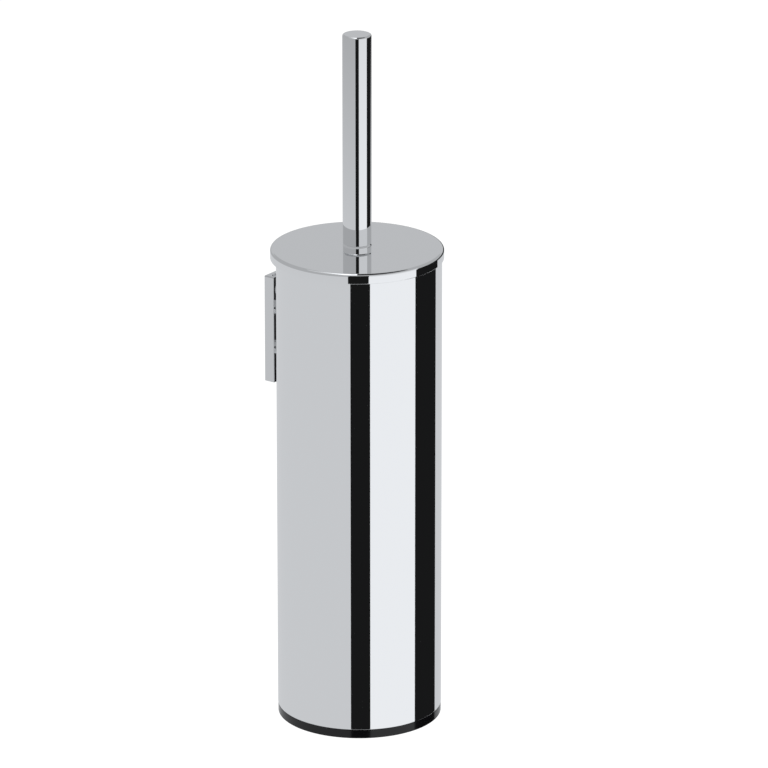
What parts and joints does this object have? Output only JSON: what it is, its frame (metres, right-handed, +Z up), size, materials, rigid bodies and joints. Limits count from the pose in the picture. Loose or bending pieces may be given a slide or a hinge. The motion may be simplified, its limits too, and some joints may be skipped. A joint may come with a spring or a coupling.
{
  "type": "toilet brush holder",
  "caption": "Wall-hung toilet brush holder: a straight polished tube on a short rail, with a drip liner, a flat lid fixed to a straight round handle, and a brush inside.",
  "frame": {"origin": "centre of the wall rail's back face, on the wall plane, halfway between the two wall screw holes", "axes": "+Z up along the tube, +Y into the wall, so the tube stands in front of the wall at -Y; +X to the right seen from the room"},
  "size_m": [0.093, 0.1043, 0.383],
  "materials": {
    "rail_chrome": "mirror-polished chrome plate",
    "tube_chrome": "mirror-polished chrome plate",
    "lid_chrome": "mirror-polished chrome plate",
    "handle_chrome": "mirror-polished chrome plate",
    "stud_chrome": "turned and chrome plated",
    "screw_steel": "turned stainless steel",
    "rod_steel": "drawn stainless steel rod",
    "black_plastic": "moulded, lightly polished",
    "liner_plastic": "moulded polypropylene, slightly translucent look",
    "insert_plastic": "moulded, fine texture",
    "hub_plastic": "moulded",
    "nylon": "natural nylon",
    "bristle_nylon": "crimped nylon filament"
  },
  "bodies": {
    "rail": {"wall_rail": "rail_chrome"},
    "holder": {"holder_tube": "tube_chrome", "base_cap": "black_plastic", "hook_studs": "stud_chrome", "stud_screws": "screw_steel", "seal_washers": "nylon"},
    "liner": {"liner_cup": "liner_plastic"},
    "brush": {"lid": "lid_chrome", "lid_insert": "insert_plastic", "foot_ring": "handle_chrome", "handle_tube": "handle_chrome", "handle_end_cap": "handle_chrome", "handle_bush": "screw_steel", "lock_washer": "screw_steel", "brush_rod": "rod_steel", "brush_hub": "hub_plastic", "side_bristles": "bristle_nylon", "tip_bristles": "bristle_nylon"}
  },
  "joints": [
    {"name": "holder_lift", "type": "slide", "parent": "rail", "child": "holder", "axis": [0, 0, 1], "range_m": [0, 0.046]},
    {"name": "liner_lift", "type": "slide", "parent": "holder", "child": "liner", "axis": [0, 0, 1], "range_m": [0, 0.255]},
    {"name": "brush_lift", "type": "slide", "parent": "liner", "child": "brush", "axis": [0, 0, 1], "range_m": [0, 0.25]}
  ]
}
